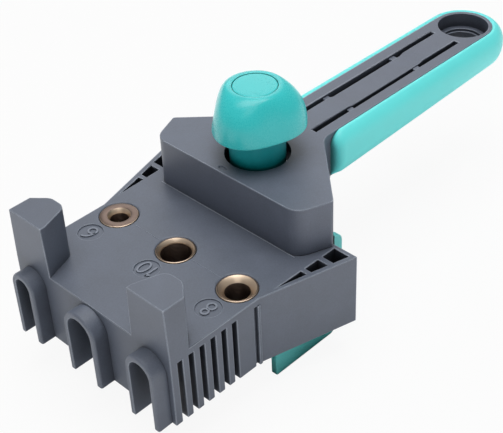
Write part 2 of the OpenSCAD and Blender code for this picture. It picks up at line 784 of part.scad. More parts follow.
// The knob: a stem, a three-lobed cap, a screw and the disc that hides it.
module knob_stem() {
    color("#3fb3b0") translate([0, knob_y, 0]) difference() {
        tube(stem_r, stem_z, stem_top);
        translate([0, 0, stem_z - over]) cylinder(r = hex_r + push_fit, h = hex_depth + over, $fn = 6);
        tube(screw_hole_r, stem_z, stem_top);
        tube(stem_bore_r, deck_screw_z, stem_top + over);
    }
}
module knob_screw() {
    color("silver") translate([0, knob_y, 0]) difference() {
        union() {
            tube(head_r + 0.8, deck_screw_z, deck_screw_z + 2.4);
            tube(screw_r, deck_screw_z - knob_screw_reach, deck_screw_z + eps);
        }
        for (a = [0, 90]) rotate(a) block([-2, -0.4, deck_screw_z + 1], [2, 0.4, deck_screw_z + 3]);
    }
}
lobe_turn = -20;
cap_rings = 9;
cap_sides = 48;
cap_crown_r = disc_r + 0.5;
function swell(t, dip) = pow(max(1 - pow(t, 1.8 - 0.93 * dip), 0), 0.51 - 0.15 * dip);
function cap_point(t, i, skin) =
    let (a = 360 * i / cap_sides, dip = cos(3 * (a - lobe_turn)))
    let (rim = cap_r - cap_lobe * dip - skin, crown = cap_crown_r - skin)
    let (r = crown + (rim - crown) * swell(t, dip))
    [r * cos(a), r * sin(a), (cap_h - skin) * t];
function cap_skin(skin) = [
    for (k = [0:cap_rings]) for (i = [0:cap_sides - 1]) cap_point(sin(90 * k / cap_rings), i, skin)
];
cap_walls = [
    for (k = [0:cap_rings - 1]) for (i = [0:cap_sides - 1])
        let (p = k * cap_sides + i, q = k * cap_sides + (i + 1) % cap_sides)
        each [[p, p + cap_sides, q], [q, p + cap_sides, q + cap_sides]]
];
cap_faces = concat(
    cap_walls,
    [[for (i = [0:cap_sides - 1]) i]],
    [[for (i = [cap_sides - 1:-1:0]) cap_rings * cap_sides + i]]
);
module cap_solid(skin) {
    polyhedron(cap_skin(skin), cap_faces);
}
module knob_cap() {
    color("#63dcd8") translate([0, knob_y, 0]) difference() {
        union() {
            translate([0, 0, cap_z]) difference() {
                cap_solid(0);
                translate([0, 0, -eps]) cap_solid(cap_wall);
            }
            intersection() {
                tube(stem_r + cap_wall, cap_z + 0.6, cap_top - disc_t);
                translate([0, 0, cap_z]) cap_solid(cap_wall / 2);
            }
        }
        tube(stem_r + push_fit, cap_z - over, stem_top);
        tube(stem_bore_r, cap_z, cap_top + over);
        tube(disc_r + push_fit, cap_top - disc_t, cap_top + over);
    }
}
module knob_disc() {
    color("#7eeae6") translate([0, knob_y, 0]) union() {
        tube(disc_r, cap_top - disc_t, cap_top);
        tube(stem_bore_r - push_fit, cap_top - disc_t - plug_t, cap_top - disc_t + eps);
    }
}

// The rear jaw: two cheeks joined by a deck that the rear rack stands on.
contact_y = board_t / 2;
cheek_raw = [
    [contact_y, -jaw_drop, 0.8],
    [rear_y + 1.7, -jaw_drop, 2.5],
    [ear_rear, plate_under - ear_foot, 0],
    [ear_rear, ear_top, ear_r],
    [ear_front, ear_top, 0.3],
    [ear_front, yoke_top, 0],
    [bay_front + close_travel + 0.3, yoke_top, 0],
    [bay_front + close_travel + 0.3, -slide_gap, 0],
    [contact_y, -slide_gap, 0]
];
module rear_jaw() {
    color("#45aeb0") {
        difference() {
            union() {
                both_sides() translate([cheek_in, 0, 0]) rotate([90, 0, 90])
                    linear_extrude(cheek_t) polygon(rounded(cheek_raw, 5));
                block([-cheek_in - eps, deck_front, deck_z - deck_t], [cheek_in + eps, arm_rear, deck_z]);
                block([-deck_half_w, deck_front, deck_z - deck_t], [deck_half_w, deck_rear, deck_z]);
                both_sides()
                    block([cheek_in - runner_w, deck_front, cover_t + slide_gap], [cheek_in + eps, arm_rear, deck_z]);
            }
            at_each(rear_screws) {
                tube(rack_hole_r, deck_z - deck_t - over, deck_z + over);
                tube(rack_head_r + 0.1, deck_z - deck_t - over, deck_z - deck_t + head_h);
            }
        }
    }
}
foot_mid = (pitch_r - tooth_tip + rack_out) / 2;
rear_screws = [[foot_mid, deck_front + 2.4], [foot_mid, deck_front + 6.6]];
module rear_rack() {
    color("#b9bdc2") difference() {
        translate([0, knob_y, deck_z])
            linear_extrude(rack_h) polygon(rack_points(-3, 0, deck_front + 0.4 - knob_y, gear_pitch));
        at_each(rear_screws) tube(rack_bore_r, deck_z - over, deck_z + rack_h - 1.5);
    }
}
module rear_rack_screws() {
    color("silver") at_each(rear_screws)
        screw_up(deck_z - deck_t, deck_t + rack_h - 2, rack_screw_r, rack_head_r);
}

// The front jaw: two fingers on tongues that run back between the bosses to the yoke.
front_screws = [[-foot_mid, yoke_front + 1.9], [-foot_mid, yoke_front + 6.1]];
module front_jaw() {
    color("#45aeb0") difference() {
        union() {
            both_sides() {
                block([finger_x - finger_w / 2, -contact_y - finger_t, -jaw_drop],
                      [finger_x + finger_w / 2, -contact_y, yoke_top]);
                block([finger_x - tongue_w / 2, -contact_y - 1, tongue_z],
                      [finger_x + tongue_w / 2, yoke_rear, yoke_top]);
            }
            block([-finger_x, yoke_front, yoke_z], [finger_x, yoke_rear, yoke_top]);
        }
        at_each(front_screws) {
            tube(rack_hole_r, yoke_z - over, yoke_top + over);
            tube(rack_head_r + 0.1, yoke_top - head_h, yoke_top + over);
        }
    }
}
module front_rack() {
    color("#b9bdc2") difference() {
        translate([0, knob_y, front_rack_z]) mirror([1, 0, 0])
            linear_extrude(rack_h) polygon(rack_points(-2, 1, yoke_front - knob_y, 2 * gear_pitch));
        at_each(front_screws) tube(rack_bore_r, front_rack_z + 1.5, yoke_z + over);
    }
}
module front_rack_screws() {
    color("silver") at_each(front_screws) translate([0, 0, yoke_top]) mirror([0, 0, 1])
        screw_up(0, yoke_t + rack_h - 2, rack_screw_r, rack_head_r);
}

drill_block();
bush_6mm();
bush_10mm();
bush_8mm();
base_cover();
base_cover_screws();
handle_housing();
housing_screws();
handle_back();
handle_back_screws();
grip_sleeve();
gear_cover();
gear_cover_screws();
lower_bearing();
upper_bearing();
spring_washer();
drive_pinion();
knob_stem();
knob_screw();
knob_cap();
knob_disc();
rear_jaw();
rear_rack();
rear_rack_screws();
front_jaw();
front_rack();
front_rack_screws();
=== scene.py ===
"""A self centering doweling jig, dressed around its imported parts. +Z is up, and the handle runs along +Y."""
import math

import bmesh
import bpy
import numpy as np
from mathutils import Matrix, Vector
from mathutils.bvhtree import BVHTree


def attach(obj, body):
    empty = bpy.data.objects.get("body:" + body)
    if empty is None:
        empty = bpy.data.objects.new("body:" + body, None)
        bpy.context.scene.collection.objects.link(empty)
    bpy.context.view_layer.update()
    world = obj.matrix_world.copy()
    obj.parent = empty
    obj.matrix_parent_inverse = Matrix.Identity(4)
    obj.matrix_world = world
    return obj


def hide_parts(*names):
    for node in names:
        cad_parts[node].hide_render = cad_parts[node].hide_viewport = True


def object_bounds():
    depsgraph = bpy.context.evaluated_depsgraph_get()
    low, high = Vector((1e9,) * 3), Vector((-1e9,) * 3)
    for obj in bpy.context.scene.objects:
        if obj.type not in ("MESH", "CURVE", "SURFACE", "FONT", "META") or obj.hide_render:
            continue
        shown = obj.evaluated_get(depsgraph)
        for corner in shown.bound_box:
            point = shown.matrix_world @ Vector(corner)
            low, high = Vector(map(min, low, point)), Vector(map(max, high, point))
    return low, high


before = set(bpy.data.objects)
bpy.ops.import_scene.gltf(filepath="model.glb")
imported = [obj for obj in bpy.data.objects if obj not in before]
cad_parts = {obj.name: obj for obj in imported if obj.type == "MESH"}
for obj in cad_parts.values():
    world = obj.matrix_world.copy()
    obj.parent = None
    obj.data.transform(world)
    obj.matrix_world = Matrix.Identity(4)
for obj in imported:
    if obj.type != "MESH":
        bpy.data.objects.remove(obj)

cad_low, cad_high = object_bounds()
mm = 0.001
scene = bpy.context.scene
scene.view_settings.view_transform = "Standard"

# The camera: a long lens, ahead of the jig and to its right, looking down at it and held a little askew.
# Its three directions are its own right, up and back.
camera = bpy.data.objects.new("camera", bpy.data.cameras.new("camera"))
scene.collection.objects.link(camera)
scene.camera = camera
camera_right = (0.7162, 0.6968, -0.0382)
camera_up = (-0.4029, 0.4576, 0.7927)
camera_back = (0.5698, -0.5524, 0.6085)
camera_place = (0.2256, -0.1846, 0.2612)
camera_turn = Matrix((camera_right, camera_up, camera_back)).transposed().to_4x4()
camera.matrix_world = Matrix.Translation(camera_place) @ camera_turn
camera.data.sensor_width = 36
camera.data.lens = 84.4
camera.data.clip_start = 0.01


# The studio: a dim white room, a pale floor under the jaws that keeps a soft shadow, and wide soft lamps.
# Away from the jig the floor also lights it from below, as a bright table does.
class Wire:
    """A socket in a material. Sums, products and the rest add Math nodes, and node() adds any other."""

    def __init__(self, tree, socket=None):
        self.tree = tree
        self.socket = socket

    def node(self, kind, settings=None, inputs=None, out=0):
        """Adds a node: its settings first, then each input's value or link. Returns one of its outputs."""
        made = self.tree.nodes.new("ShaderNode" + kind)
        for key, value in (settings or {}).items():
            setattr(made, key, value)
        for key, value in (inputs or {}).items():
            if isinstance(value, Wire):
                self.tree.links.new(value.socket, made.inputs[key])
            else:
                made.inputs[key].default_value = value
        return Wire(self.tree, made.outputs[out] if made.outputs else None)

    def math(self, operation, *values):
        """One Math node on the values."""
        return self.node("Math", {"operation": operation}, dict(enumerate(values)))

    def clamp(self, low, high):
        """The value, kept between low and high."""
        return self.math("MINIMUM", self.math("MAXIMUM", self, low), high)

    def __add__(self, other):
        return self.math("ADD", self, other)

    def __sub__(self, other):
        return self.math("SUBTRACT", self, other)

    def __rsub__(self, other):
        return self.math("SUBTRACT", other, self)

    def __mul__(self, other):
        return self.math("MULTIPLY", self, other)

    def __truediv__(self, other):
        return self.math("DIVIDE", self, other)

    __radd__ = __add__
    __rmul__ = __mul__


def new_tree(owner):
    """The empty node tree of a material or the world, as a Wire to build on."""
    owner.use_nodes = True
    owner.node_tree.nodes.clear()
    return Wire(owner.node_tree)


def seen_by_camera(wire):
    """1 for rays from the camera or through glass, and 0 for the rays that light the jig."""
    camera_ray = wire.node("LightPath", None, None, "Is Camera Ray")
    glass_ray = wire.node("LightPath", None, None, "Is Transmission Ray")
    return camera_ray.math("MAXIMUM", camera_ray, glass_ray)


world = bpy.data.worlds.new("white_room")
scene.world = world
room = new_tree(world)
room_light = 0.1
reflected_share = 0.3
pure_white = (1, 1, 1, 1)
lit = room.node("Background", None, {"Color": pure_white, "Strength": room_light})
white = room.node("Background", None, {"Color": pure_white, "Strength": 1.0})
reflected = room.node("LightPath", None, None, "Is Glossy Ray") * reflected_share
white_share = reflected.math("MAXIMUM", seen_by_camera(room), reflected)
mixed = room.node("MixShader", None, {0: white_share, 1: lit, 2: white})
room.node("OutputWorld", None, {"Surface": mixed})

floor_gap = 0.1 * mm
floor_z = cad_low[2] - floor_gap
floor_half = 3.0
floor_mesh = bpy.data.meshes.new("floor")
floor_mesh.from_pydata(
    [(-floor_half, -floor_half, floor_z), (floor_half, -floor_half, floor_z),
     (floor_half, floor_half, floor_z), (-floor_half, floor_half, floor_z)],
    [], [(0, 1, 2, 3)],
)
floor = bpy.data.objects.new("floor", floor_mesh)
scene.collection.objects.link(floor)
pale = bpy.data.materials.new("pale_floor")
floor_mesh.materials.append(pale)
ground = new_tree(pale)
shaded_half_x = 0.045
shaded_middle_y = 0.06
shaded_half_y = 0.1
brightens_in = 0.04
glow_share = 0.92
bright_share = 0.5
matte = ground.node("BsdfDiffuse", None, {"Color": (0.86, 0.86, 0.86, 1)})
plain_glow = ground.node("Emission", None, {"Color": pure_white, "Strength": 1.0})
bright_glow = ground.node("Emission", None, {"Color": pure_white, "Strength": 1.85})
floor_place = ground.node("TexCoord", None, None, "Object")
floor_x = ground.node("SeparateXYZ", None, {0: floor_place}, "X")
along_y = ground.node("SeparateXYZ", None, {0: floor_place}, "Y") - shaded_middle_y
beside = floor_x.math("ABSOLUTE", floor_x) - shaded_half_x
ahead = along_y.math("ABSOLUTE", along_y) - shaded_half_y
clear = (beside.math("MAXIMUM", beside, ahead) / brightens_in).clamp(0.0, 1.0)
seen_floor = ground.node("MixShader", None, {0: glow_share, 1: matte, 2: plain_glow})
lit_floor = ground.node("MixShader", None, {0: clear * bright_share, 1: matte, 2: bright_glow})
ground.node("OutputMaterial", None, {
    "Surface": ground.node("MixShader", None, {0: seen_by_camera(ground), 1: lit_floor, 2: seen_floor})
})


def soft_lamp(name, place, aim, size, watts):
    """A square area lamp at place that faces aim."""
    lamp = bpy.data.objects.new(name, bpy.data.lights.new(name, "AREA"))
    lamp.data.shape = "SQUARE"
    lamp.data.size = size
    lamp.data.energy = watts
    back = np.subtract(place, aim)
    back = back / np.linalg.norm(back)
    nearly_up = (0, 0.2, 1)
    side = np.cross(nearly_up, back)
    side = side / np.linalg.norm(side)
    turn = Matrix((side, np.cross(back, side), back)).transposed().to_4x4()
    lamp.matrix_world = Matrix.Translation(place) @ turn
    scene.collection.objects.link(lamp)


soft_lamp("lamp_above", (0.0, 0.02, 0.8), (0, 0.02, 0), size=0.6, watts=4.35)
soft_lamp("lamp_ahead", (0.45, -0.45, 0.75), (0, 0, 0.02), size=0.35, watts=0.6)
soft_lamp("lamp_behind", (-0.5, 0.52, 0.5), (0, 0.02, 0.02), size=0.6, watts=1.5)


# The drill block: one moulding of slate grey filled nylon, with fine spark-eroded grain and softened edges.
# Its stops, dowel arches and combs stand on it, and the three size marks sit in shallow round recesses.
def tint(code):
    """A colour written as six hexadecimal digits, as the linear values that a shader takes."""
    parts = np.array([int(code[k:k + 2], 16) for k in (0, 2, 4)]) / 255
    linear = np.where(parts <= 0.04045, parts / 12.92, ((parts + 0.055) / 1.055) ** 2.4)
    return (*linear, 1.0)


def openness(wire, distance, inside=False):
    """The share of a point's view that is open within a distance, outwards or into its own solid."""
    settings = {"samples": 8, "inside": inside}
    return wire.node("AmbientOcclusion", settings, {"Distance": distance}, "AO")


def moulded_plastic(name, colour, edge_highlight_colour, roughness, grain, depth, mottle):
    """Moulded plastic: soft clouds of tone, a fine grain, a pale painted highlight on its edges and painted
    shade in its creases and hollows.
    """
    made = bpy.data.materials.new(name)
    work = new_tree(made)
    place = work.node("TexCoord", None, None, "Object")
    clouds = work.node("TexNoise", None, {"Vector": place, "Scale": 90.0, "Detail": 4.0, "Roughness": 0.6})
    specks = work.node("TexNoise", None, {"Vector": place, "Scale": grain, "Detail": 2.0, "Roughness": 0.5})
    edges = openness(work, 0.45 * mm, inside=True)
    seams = openness(work, 0.5 * mm)
    hollows = openness(work, 20 * mm)
    # A pale colour painted along the edges: a painted highlight where rounded edges would catch the light.
    edge_highlight = ((1 - edges) * 5.5 - 0.5).clamp(0.0, 1.0)
    # Painted shade: the colour is darkened in hollows within 20 mm and in creases within half a millimetre.
    painted_shade_factor = hollows.math("MINIMUM", hollows * 2.2 - 0.35, seams * 2.4 - 0.8).clamp(0.12, 1.0)
    tone = ((clouds - 0.5) * mottle + (specks - 0.5) * mottle) * 0.5 + 1.0
    colour_with_highlight = work.node("Mix", {"data_type": "RGBA"}, {
        "Factor": edge_highlight, 6: tint(colour), 7: tint(edge_highlight_colour),
    }, 2)
    shade = work.node("VectorMath", {"operation": "SCALE"}, {0: colour_with_highlight, "Scale": tone * painted_shade_factor})
    surface = work.node("BsdfPrincipled", None, {
        "Base Color": shade,
        "Roughness": (clouds - 0.5) * 0.12 + (specks - 0.5) * 0.1 + roughness,
        "Normal": work.node("Bump", None, {"Height": specks, "Strength": 0.5, "Distance": depth}),
    })
    work.node("OutputMaterial", None, {"Surface": surface})
    return made


block_grey = moulded_plastic(
    "block_grey", "656c7a", "a3abb8", roughness=0.46, grain=2600.0, depth=0.03 * mm, mottle=0.75
)


def node_points(node):
    """The corners of a CAD node's mesh, a row each, in metres."""
    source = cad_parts[node].data
    points = np.empty(len(source.vertices) * 3)
    source.vertices.foreach_get("co", points)
    return points.reshape(-1, 3)


def span(node):
    """The lowest and the highest corner of a CAD node's box, in millimetres to a hundredth."""
    points = node_points(node) / mm
    return points.min(0).round(2), points.max(0).round(2)


def clean_copy(node):
    """A CAD node's mesh with its corners merged and its flat faces joined, as a new mesh."""
    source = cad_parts[node].data
    corners = np.empty(len(source.polygons) * 3, int)
    source.polygons.foreach_get("vertices", corners)
    made = bpy.data.meshes.new(node + "_copy")
    made.from_pydata(node_points(node), [], corners.reshape(-1, 3))
    shape = bmesh.new()
    shape.from_mesh(made)
    bmesh.ops.remove_doubles(shape, verts=shape.verts, dist=0.002 * mm)
    bmesh.ops.dissolve_limit(shape, angle_limit=math.radians(0.8), verts=shape.verts, edges=shape.edges)
    shape.to_mesh(made)
    shape.free()
    return made


def add_piece(name, mesh, body, material, slot, *nodes):
    """Puts a mesh in the scene with its material, the body it rides on and the CAD nodes it replaces."""
    piece = bpy.data.objects.new(name, mesh)
    scene.collection.objects.link(piece)
    mesh.materials.clear()
    mesh.materials.append(material)
    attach(piece, body)
    if nodes:
        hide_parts(*nodes)
    return piece


def carve(mesh, cutters):
    """The mesh with each closed cutter mesh taken out of it."""
    body = bpy.data.objects.new("carved", mesh)
    scene.collection.objects.link(body)
    tools = []
    for cutter in cutters:
        tool = bpy.data.objects.new("cutter", cutter)
        scene.collection.objects.link(tool)
        cut = body.modifiers.new("cut", "BOOLEAN")
        cut.operation = "DIFFERENCE"
        cut.solver = "EXACT"
        cut.object = tool
        tools.append(tool)
    made = bpy.data.meshes.new_from_object(body.evaluated_get(bpy.context.evaluated_depsgraph_get()))
    for used in [body, *tools]:
        bpy.data.objects.remove(used)
    return made


def crossings(piece):
    """Middles, in millimetres, of the triangles of a finished piece that pass through others."""
    seen = piece.evaluated_get(bpy.context.evaluated_depsgraph_get())
    shape = seen.to_mesh()
    shape.calc_loop_triangles()
    points = np.empty(len(shape.vertices) * 3)
    shape.vertices.foreach_get("co", points)
    points = points.reshape(-1, 3) / mm
    corners = np.empty(len(shape.loop_triangles) * 3, int)
    shape.loop_triangles.foreach_get("vertices", corners)
    corners = corners.reshape(-1, 3)
    seen.to_mesh_clear()
    tree = BVHTree.FromPolygons(points.tolist(), corners.tolist())
    pairs = np.array([p for p in tree.overlap(tree) if p[0] < p[1]], int).reshape(-1, 2)
    first, second = points[corners[pairs[:, 0]]], points[corners[pairs[:, 1]]]
    apart = np.linalg.norm(first[:, :, None] - second[:, None], axis=3).min((1, 2)) > 0.001
    return (first[apart].mean(1) + second[apart].mean(1)) / 2


def soften(piece, width, wider=()):
    """Rounds every outward edge by width, or by more where a test of the edges' middles says so.

    Where two rounds would cross, the edges near by get half the width, up to three times, and then none.
    """
    least_angle = math.radians(30)
    tries, halvings, near_reach = 7, 3, 1.2
    widest = max([width] + [w for w, _ in wider])
    shape = bmesh.new()
    shape.from_mesh(piece.data)
    shape.edges.layers.float.new("bevel_weight_edge")
    weight = shape.edges.layers.float["bevel_weight_edge"]
    shape.edges.ensure_lookup_table()
    closed_edges = [e for e in shape.edges if len(e.link_faces) == 2]
    edges = [e.index for e in closed_edges if e.calc_face_angle_signed() > least_angle]
    ends = np.array([[v.co for v in shape.edges[k].verts] for k in edges]) / mm
    start, end = ends[:, 0], ends[:, 1]
    along = np.maximum(((end - start) ** 2).sum(1), 1e-9)
    widths = np.full(len(edges), float(width))
    for w, test in wider:
        widths[test(*((start + end) / 2).T)] = w
    for face in shape.faces:
        face.smooth = True
    rounding = piece.modifiers.new("rounding", "BEVEL")
    rounding.limit_method = "WEIGHT"
    rounding.width = widest * mm
    rounding.segments = 3
    rounding.use_clamp_overlap = False
    rounding.harden_normals = True
    for attempt in range(tries):
        for k, w in zip(edges, widths):
            shape.edges[k][weight] = w / widest
        shape.to_mesh(piece.data)
        piece.data.set_sharp_from_angle(angle=least_angle)
        wrong = crossings(piece)
        if not len(wrong):
            break
        narrowed = width * 0.5 ** (attempt + 1) if attempt < halvings else 0
        for spot in wrong:
            t = np.clip(((spot - start) * (end - start)).sum(1) / along, 0, 1)
            near = np.linalg.norm(start + t[:, None] * (end - start) - spot, axis=1) < near_reach
            widths[near] = np.minimum(widths[near], narrowed)
    shape.free()


def joined_grid(name, points, wrap_rows=True):
    """Mesh of a grid of points. Columns join round, and rows do too or are closed by a face at each end."""
    rows, columns = points.shape[:2]
    run = rows if wrap_rows else rows - 1
    i, j = np.meshgrid(np.arange(run), np.arange(columns), indexing="ij")
    here, below = i * columns, (i + 1) % rows * columns
    across = (j + 1) % columns
    faces = np.stack([here + j, here + across, below + across, below + j], -1).reshape(-1, 4).tolist()
    if not wrap_rows:
        faces += [list(range(columns)), list(range((rows - 1) * columns, rows * columns))]
    made = bpy.data.meshes.new(name)
    made.from_pydata(points.reshape(-1, 3) * mm, [], faces)
    shape = bmesh.new()
    shape.from_mesh(made)
    bmesh.ops.remove_doubles(shape, verts=shape.verts, dist=0.0005 * mm)
    bmesh.ops.recalc_face_normals(shape, faces=shape.faces)
    for face in shape.faces:
        face.smooth = True
    shape.to_mesh(made)
    shape.free()
    made.set_sharp_from_angle(angle=math.radians(40))
    return made


def turned_surface(profile, place, around=96):
    """A profile of (radius, height) pairs turned round an upright axis through place."""
    radius, height = np.array(profile, float).T
    a = np.linspace(0, 2 * math.pi, around, endpoint=False)[None, :]
    return np.stack([
        place[0] + radius[:, None] * np.cos(a),
        place[1] + radius[:, None] * np.sin(a),
        place[2] + height[:, None] + 0 * a,
    ], -1)


drills = (6, 10, 8)
block_front = span("drill_block")[0][1]
bush_r, _, plate_top = span("bush_10mm")[1]
bush_pitch = span("bush_8mm")[1][0] - bush_r
bush_places = [((k - 1) * bush_pitch, 0.0, 0.0) for k in range(3)]
arch_wall = 2.0
arch_fit = 0.4
arch_drop = 0.5


def on_arch_rim(x, y, z):
    """True on the outer front edge of a dowel arch, which is rounded the most."""
    k = np.clip(np.round(x / bush_pitch).astype(int) + 1, 0, 2)
    half = np.array(drills)[k] / 2 + arch_fit + arch_wall
    across = x - (k - 1) * bush_pitch
    above = z - (plate_top - arch_drop - half)
    reach = np.where(above > 0, np.hypot(across, above), np.abs(across))
    return (y < block_front + 0.3) & (reach > half - 0.5) & (z > 0.2)


def at_rib_feet(x, y, z):
    """True on the lower ends of the arches and of the comb's ribs."""
    in_comb = (np.abs(x) > 30) & (y < -8)
    return (z < 0.2) & ((y < block_front + 1.8) | in_comb)


mark_y = -12.2
mark_r = 4.1
mark_depth = 0.4
mark_places = [(x, mark_y, plate_top) for x, _, _ in bush_places]
mark_cutter = [(0, -mark_depth), (mark_r, -mark_depth), (mark_r + 0.06, 0.1), (0, 0.1)]
recesses = [joined_grid("recess", turned_surface(mark_cutter, place, 72), False) for place in mark_places]
drill_block = add_piece(
    "drill_block_moulding", carve(clean_copy("drill_block"), recesses),
    "block", block_grey, "block_grey", "drill_block",
)
soften(drill_block, 0.25, [(0.85, on_arch_rim), (0.6, at_rib_feet)])


# The marks: the drill sizes stand raised in the recesses, moulded with the block and read from the handle's
# side. A hairline runs through the bushes, and a thin raised line along the foot of the hood; both are thin
# enough to take the painted edge highlight all over, which paints them as lines of light.
def raised_line(path, closed, half, height, base):
    """A low rounded ridge: a section carried along a flat path, square to its direction at each point."""
    path = np.array(path, float)
    if closed:
        ahead = np.roll(path, -1, 0) - np.roll(path, 1, 0)
    else:
        ahead = np.gradient(path, axis=0)
    ahead /= np.linalg.norm(ahead, axis=1)[:, None]
    side = np.stack([-ahead[:, 1], ahead[:, 0]], 1)
    section = np.array([(-1, -0.1), (-0.97, 0.8), (-0.8, 0.97), (0.8, 0.97), (0.97, 0.8), (1, -0.1)])
    section = section * (half, height)
    flat = path[:, None, :] + side[:, None, :] * section[None, :, 0, None]
    up = np.broadcast_to(base + section[:, 1], flat.shape[:2])
    return joined_grid("ridge", np.concatenate([flat, up[..., None]], -1), closed)


def oval(centre, radii, start=0.0, end=360.0, steps=48):
    """Points on an oval, or on the stretch of it between two angles in degrees."""
    a = np.radians(np.linspace(start, end, steps, endpoint=end - start < 360))
    return np.stack([centre[0] + radii[0] * np.cos(a), centre[1] + radii[1] * np.sin(a)], 1)


def together(name, meshes):
    """One mesh made of several."""
    shape = bmesh.new()
    for part in meshes:
        shape.from_mesh(part)
    made = bpy.data.meshes.new(name)
    shape.to_mesh(made)
    shape.free()
    made.set_sharp_from_angle(angle=math.radians(40))
    return made


# The strokes of each mark in millimetres from its middle, and whether a stroke closes on itself.
figures = {
    6: [(oval((0, -1.05), (1.5, 1.45)), True), (oval((0.9, -1.05), (2.4, 3.9), 82, 176, 24), False)],
    8: [(oval((-0.2, -1.2), (1.4, 1.4)), True), (oval((-0.2, 1.75), (1.15, 1.2)), True)],
    10: [
        (np.linspace((-2.0, -2.5), (-2.0, 2.7), 8), False),
        (np.linspace((-2.0, 2.55), (-3.0, 1.5), 5), False),
        (oval((1.2, 0.1), (1.5, 2.6)), True),
    ],
}
stroke_half = 0.36
ridges = [
    raised_line(np.array((x, y)) - path, closed, stroke_half, mark_depth, plate_top - mark_depth)
    for (x, y, _), drill in zip(mark_places, drills) for path, closed in figures[drill]
]
# The marks' plastic has a weaker painted edge highlight; painted shade at the feet of the strokes draws their
# dark outlines.
mark_grey = moulded_plastic(
    "mark_grey", "656c7a", "858c9a", roughness=0.46, grain=2600.0, depth=0.03 * mm, mottle=0.5
)
add_piece("size_marks", together("size_marks", ridges), "block", mark_grey, "block_grey")
hair_half = 0.07
hair_h = 0.05
hair_ends = ((-35.4, -34.2), (-20.8, -6.7), (6.7, 20.8), (34.2, 35.4))
hairs = [
    raised_line(np.linspace((x0, 0), (x1, 0), 6), False, hair_half, hair_h, plate_top)
    for x0, x1 in hair_ends
]
add_piece("row_hairline", together("row_hairline", hairs), "block", mark_grey, "block_grey")
housing_low, housing_high = span("handle_housing")
foot_y = housing_low[1] - 0.16
foot_half_x = 30.8
foot_path = np.linspace((-foot_half_x, foot_y), (foot_half_x, foot_y), 12)
# A thin ridge along the hood's foot, pale all over from the painted edge highlight: a painted line of light.
foot_highlight = raised_line(foot_path, False, half=0.15, height=0.14, base=plate_top)
add_piece("hood_foot_highlight", foot_highlight, "block", block_grey, "block_grey")


# The drill bushes: turned and hardened steel, browned by heat treatment and pressed in flush with the plate.
# Each has a ground lead at its mouth, of its own width and depth, and tool rings down its bore.
def worked_metal(name, colour, pale_colour, roughness, lead_top=0.0, lead_low=0.0):
    """Bare metal, cloudy in colour and gloss, with painted shade in hollows. It is paler between a lead's
    heights (partly a painted reflection) and ringed below them.
    """
    made = bpy.data.materials.new(name)
    work = new_tree(made)
    place = work.node("TexCoord", None, None, "Object")
    clouds = work.node("TexNoise", None, {
        "Vector": place, "Scale": 240.0, "Detail": 5.0, "Roughness": 0.65,
    })
    scratches = work.node("TexNoise", None, {"Vector": place, "Scale": 1900.0, "Detail": 2.0})
    metal = work.node("Mix", {"data_type": "RGBA"}, {
        "Factor": (clouds - 0.5) * 1.6 + 0.5, 6: tint(colour), 7: tint(pale_colour),
    }, 2)
    # Painted shade: the colour is darkened where the metal is hemmed in within 20 mm, as down a bore.
    painted_shade_factor = (openness(work, 20 * mm) * 2.0 - 0.3).clamp(0.35, 1.0)
    relief = scratches * 0.3
    if lead_top:
        ring_pitch = 0.55
        height = work.node("SeparateXYZ", None, {0: place}, "Z") / mm
        in_bore = height.math("LESS_THAN", height, lead_low)
        in_lead = height.math("LESS_THAN", height, lead_top) - in_bore
        ring_angle = height * (2 * math.pi / ring_pitch)
        relief = relief + in_bore * ring_angle.math("SINE", ring_angle) * 3.0
        # The ground lead is paler steel, set paler still as a painted reflection of bright surroundings, and
        # it gets no painted shade.
        metal = work.node("Mix", {"data_type": "RGBA"}, {"Factor": in_lead, 6: metal, 7: tint("d0bba4")}, 2)
        painted_shade_factor = in_lead.math("MAXIMUM", in_lead, painted_shade_factor)
    surface = work.node("BsdfPrincipled", None, {
        "Base Color": work.node("VectorMath", {"operation": "SCALE"}, {0: metal, "Scale": painted_shade_factor}),
        "Metallic": 1.0,
        "Roughness": (clouds - 0.5) * 0.2 + roughness,
        "Normal": work.node("Bump", None, {"Height": relief, "Strength": 0.5, "Distance": 0.04 * mm}),
    })
    work.node("OutputMaterial", None, {"Surface": surface})
    return made


drill_fit = 0.05
lead_widths = (0.85, 1.0, 2.0)
lead_depths = (1.6, 1.2, 1.6)
bush_steel = worked_metal(
    "bush_steel", "6c5d55", "84736a", roughness=0.4,
    lead_top=plate_top - 0.06, lead_low=plate_top - max(lead_depths),
)
for drill, lead, lead_depth, place in zip(drills, lead_widths, lead_depths, bush_places):
    bore = drill / 2 + drill_fit
    name = f"bush_{drill}mm"
    turned = turned_surface([
        (bore + 0.4, 0), (bush_r - 0.4, 0), (bush_r - 0.02, 0.4), (bush_r - 0.02, plate_top - 0.35),
        (bush_r - 0.1, plate_top - 0.12), (bush_r - 0.3, plate_top - 0.01), (bore + lead + 0.12, plate_top),
        (bore + lead - 0.04, plate_top - 0.08), (bore + 0.08, plate_top - lead_depth + 0.08),
        (bore, plate_top - lead_depth - 0.1), (bore, 0.4),
    ], place)
    add_piece(name + "_turned", joined_grid(name, turned), "block", bush_steel, "bush_steel", name)


# The covers: a plate over the slide bay, one under the gear case and a long one under the handle.
# They are plain dark mouldings, held on by screws.
cover_grey = moulded_plastic(
    "cover_grey", "565b66", "868d99", roughness=0.5, grain=2600.0, depth=0.03 * mm, mottle=0.5
)
for name in ("base_cover", "gear_cover", "handle_back"):
    soften(add_piece(name + "_moulding", clean_copy(name), "block", cover_grey, "cover_grey", name), 0.3)


